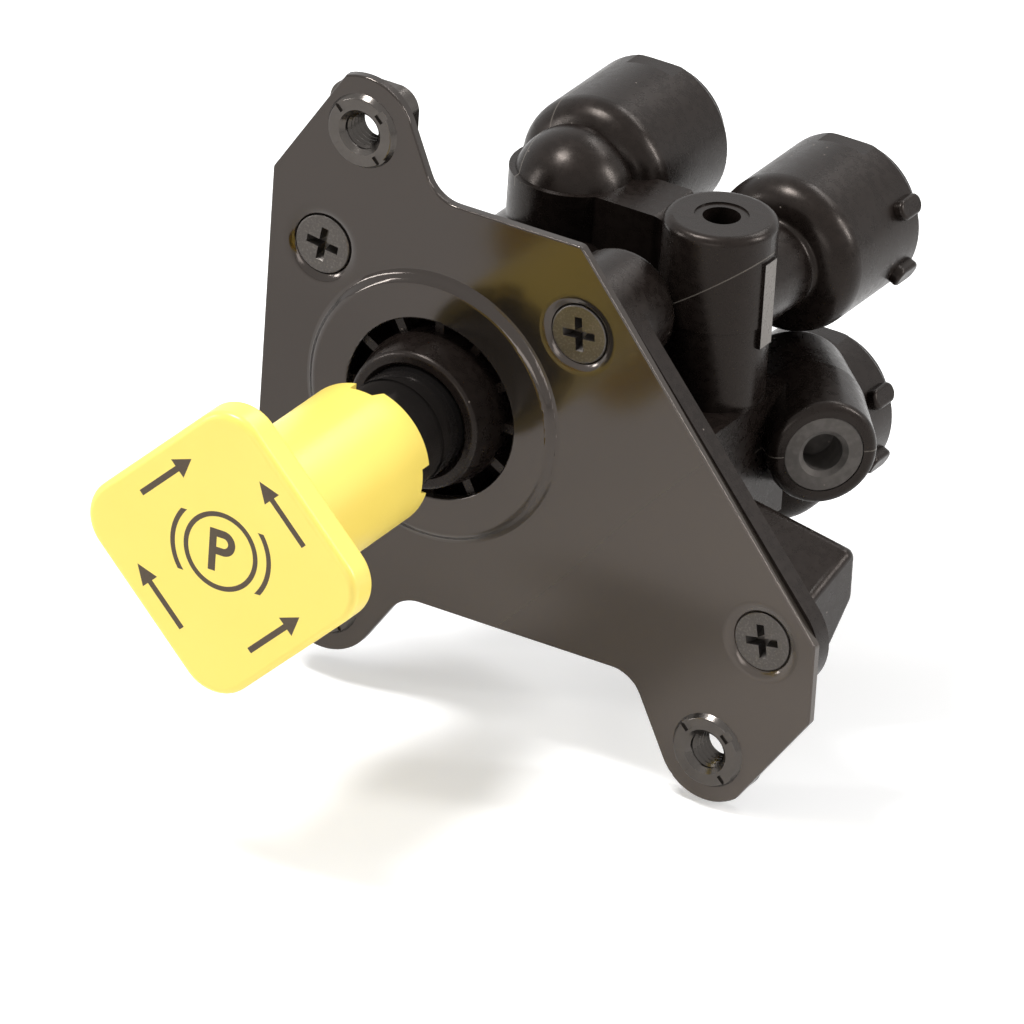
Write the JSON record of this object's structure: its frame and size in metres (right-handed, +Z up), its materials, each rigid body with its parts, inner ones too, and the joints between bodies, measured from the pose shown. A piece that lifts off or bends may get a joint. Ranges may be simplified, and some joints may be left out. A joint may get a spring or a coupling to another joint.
{
  "type": "air brake dash control valve",
  "caption": "Push-pull air brake dash control valve with a square yellow knob, a pressed steel mounting plate and a black nylon body with push-to-connect tube ports.",
  "frame": {"origin": "where the plunger's axis meets the plate's front face", "axes": "+Y into the panel along the plunger's axis, +X right along the plate seen from the knob, +Z up"},
  "size_m": [0.1011, 0.131, 0.104],
  "materials": {
    "body_plastic": "satin black glass-filled nylon",
    "plate_steel": "semi-gloss black coating",
    "screw_steel": "black zinc",
    "nut_steel": "black zinc with bright threads",
    "spool_plastic": "polished black",
    "knob_plastic": "bright yellow",
    "plug_plastic": "dark grey satin",
    "seal_rubber": "black",
    "spring_steel": "bright spring steel",
    "seat_brass": "turned brass",
    "collet_plastic": "black acetal"
  },
  "bodies": {
    "valve": {"valve_body": "body_plastic", "mounting_plate": "plate_steel", "stem_seal": "seal_rubber", "inlet_seat": "seat_brass", "inlet_seat_seal": "seal_rubber", "return_spring": "spring_steel", "front_cover": "body_plastic", "front_cover_seal": "seal_rubber", "exhaust_screen": "spring_steel", "check_seat": "seat_brass", "check_plug": "body_plastic", "check_plug_seal": "seal_rubber", "side_plug": "plug_plastic", "plate_screw_1": "screw_steel", "clinch_nut_1": "nut_steel", "port_1_seal": "seal_rubber", "port_1_grab_ring": "spring_steel", "port_1_retainer": "seat_brass", "plate_screw_2": "screw_steel", "clinch_nut_2": "nut_steel", "port_2_seal": "seal_rubber", "port_2_grab_ring": "spring_steel", "port_2_retainer": "seat_brass", "plate_screw_3": "screw_steel", "clinch_nut_3": "nut_steel", "port_3_seal": "seal_rubber", "port_3_grab_ring": "spring_steel", "port_3_retainer": "seat_brass"},
    "plunger": {"plunger": "spool_plastic", "knob": "knob_plastic", "knob_pin": "spring_steel", "piston_seal": "seal_rubber", "valve_disc": "seal_rubber", "valve_disc_nut": "spring_steel"},
    "check_shuttle": {"check_shuttle": "collet_plastic"},
    "collet_1": {"port_1_collet": "collet_plastic"},
    "collet_2": {"port_2_collet": "collet_plastic"},
    "collet_3": {"port_3_collet": "collet_plastic"}
  },
  "joints": [
    {"name": "plunger_slide", "type": "slide", "parent": "valve", "child": "plunger", "axis": [0, 1, 0], "range_m": [0, 0.009], "stiffness_N_per_m": 1200, "springref_m": -0.02, "deforming": ["return_spring"]},
    {"name": "check_shuttle_slide", "type": "slide", "parent": "valve", "child": "check_shuttle", "axis": [0, 0, 1], "range_m": [0, 0.0129]},
    {"name": "collet_1_slide", "type": "slide", "parent": "valve", "child": "collet_1", "axis": [0, -1, 0], "range_m": [0, 0.0012]},
    {"name": "collet_2_slide", "type": "slide", "parent": "valve", "child": "collet_2", "axis": [0, -1, 0], "range_m": [0, 0.0012]},
    {"name": "collet_3_slide", "type": "slide", "parent": "valve", "child": "collet_3", "axis": [0, -1, 0], "range_m": [0, 0.0012]}
  ]
}
